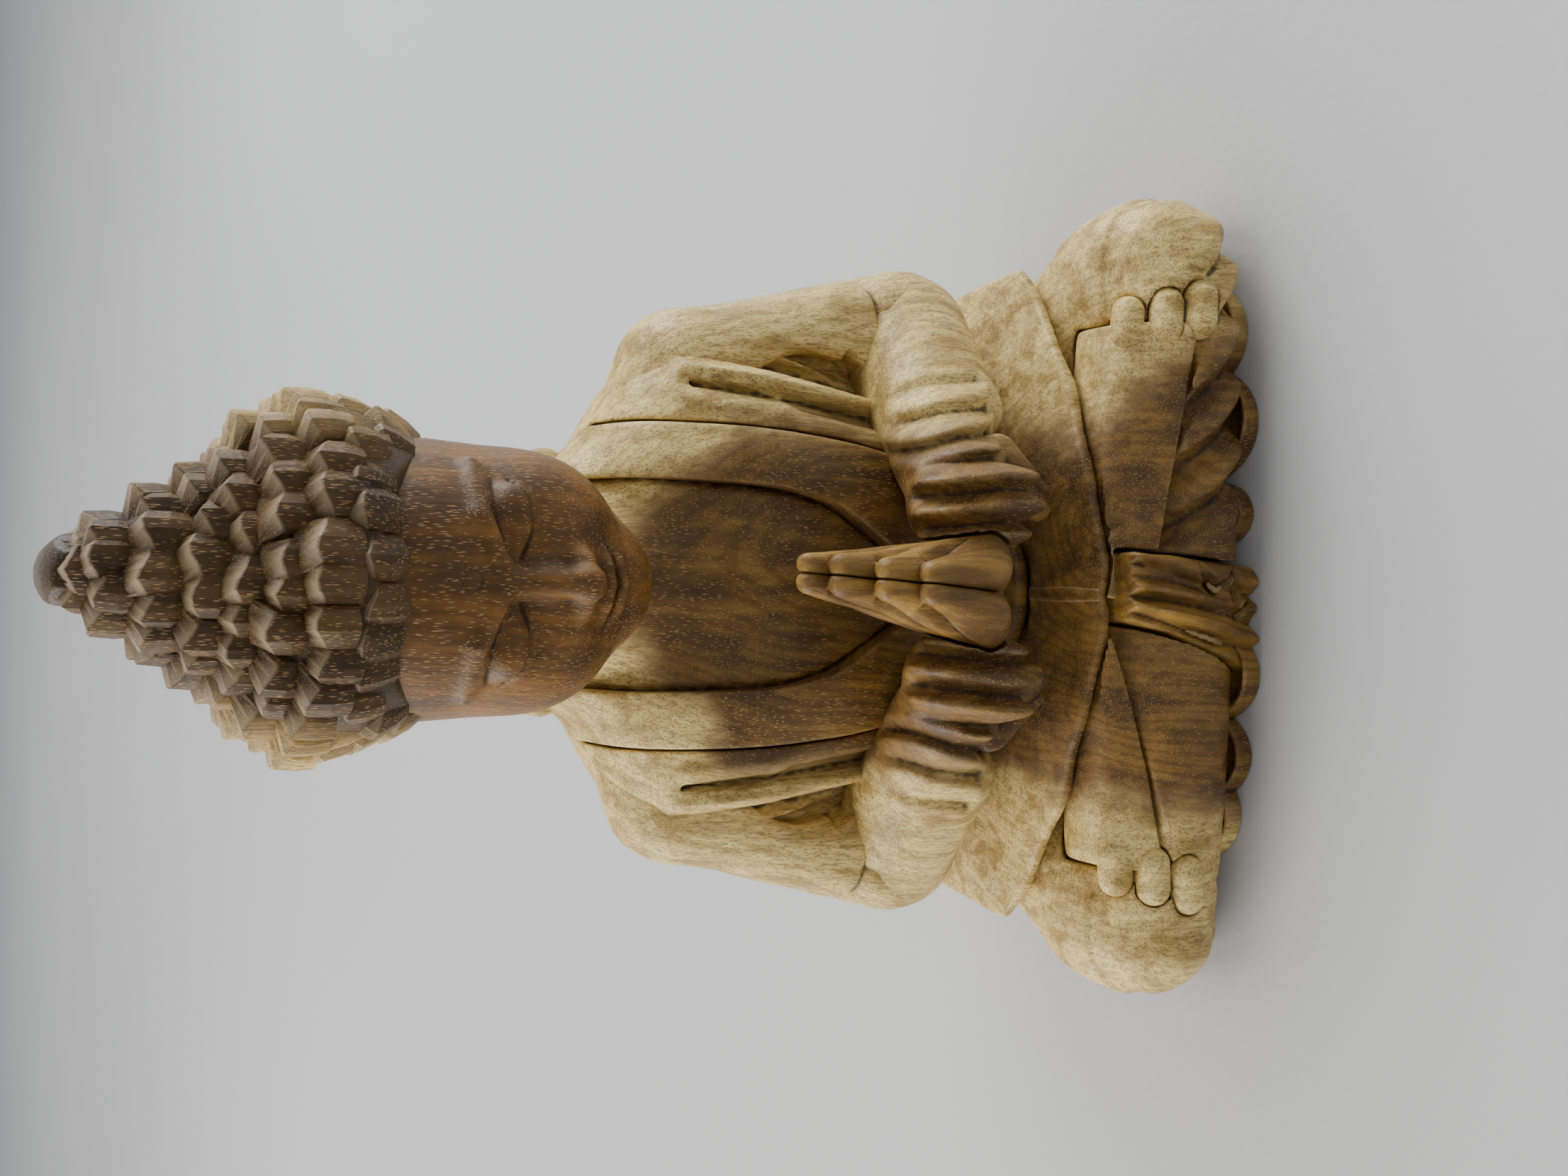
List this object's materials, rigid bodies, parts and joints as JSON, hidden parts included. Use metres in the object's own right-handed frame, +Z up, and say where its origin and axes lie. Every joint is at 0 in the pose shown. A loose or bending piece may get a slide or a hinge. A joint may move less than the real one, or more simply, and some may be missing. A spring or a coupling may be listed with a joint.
{
  "type": "carved figure",
  "caption": "Carved wooden figure seated cross-legged with palms pressed together, eyes closed and head bowed, with knobbed hair and a loose robe.",
  "frame": {"origin": "centre of the flat underside, on the floor", "axes": "+Z up, the figure looks along -Y, its own left hand is at +X"},
  "size_m": [0.23, 0.14, 0.3],
  "materials": {
    "heartwood": "brown heartwood, knife finished, sanded and waxed to a satin",
    "sapwood": "cream sapwood, sanded and waxed to a satin",
    "hair_wood": "grey-brown heartwood, left as the knife cut it"
  },
  "bodies": {
    "root": {"chest": "heartwood", "crown_bud": "hair_wood", "front_sash": "heartwood", "hair_curls": "hair_wood", "hair_mass": "hair_wood", "head": "heartwood", "hem": "heartwood", "left_calf": "heartwood", "left_ear": "sapwood", "left_forearm_sleeve": "heartwood", "left_hand": "heartwood", "left_lap_flap": "heartwood", "left_lapel": "heartwood", "left_shin": "heartwood", "left_thigh": "sapwood", "left_toes": "sapwood", "left_upper_sleeve": "sapwood", "neck": "heartwood", "right_calf": "heartwood", "right_ear": "sapwood", "right_forearm_sleeve": "heartwood", "right_hand": "heartwood", "right_lap_flap": "heartwood", "right_lapel": "heartwood", "right_shin": "heartwood", "right_thigh": "sapwood", "right_toes": "sapwood", "right_upper_sleeve": "sapwood", "robe": "sapwood", "seat": "sapwood", "waist_band": "heartwood"}
  },
  "joints": []
}
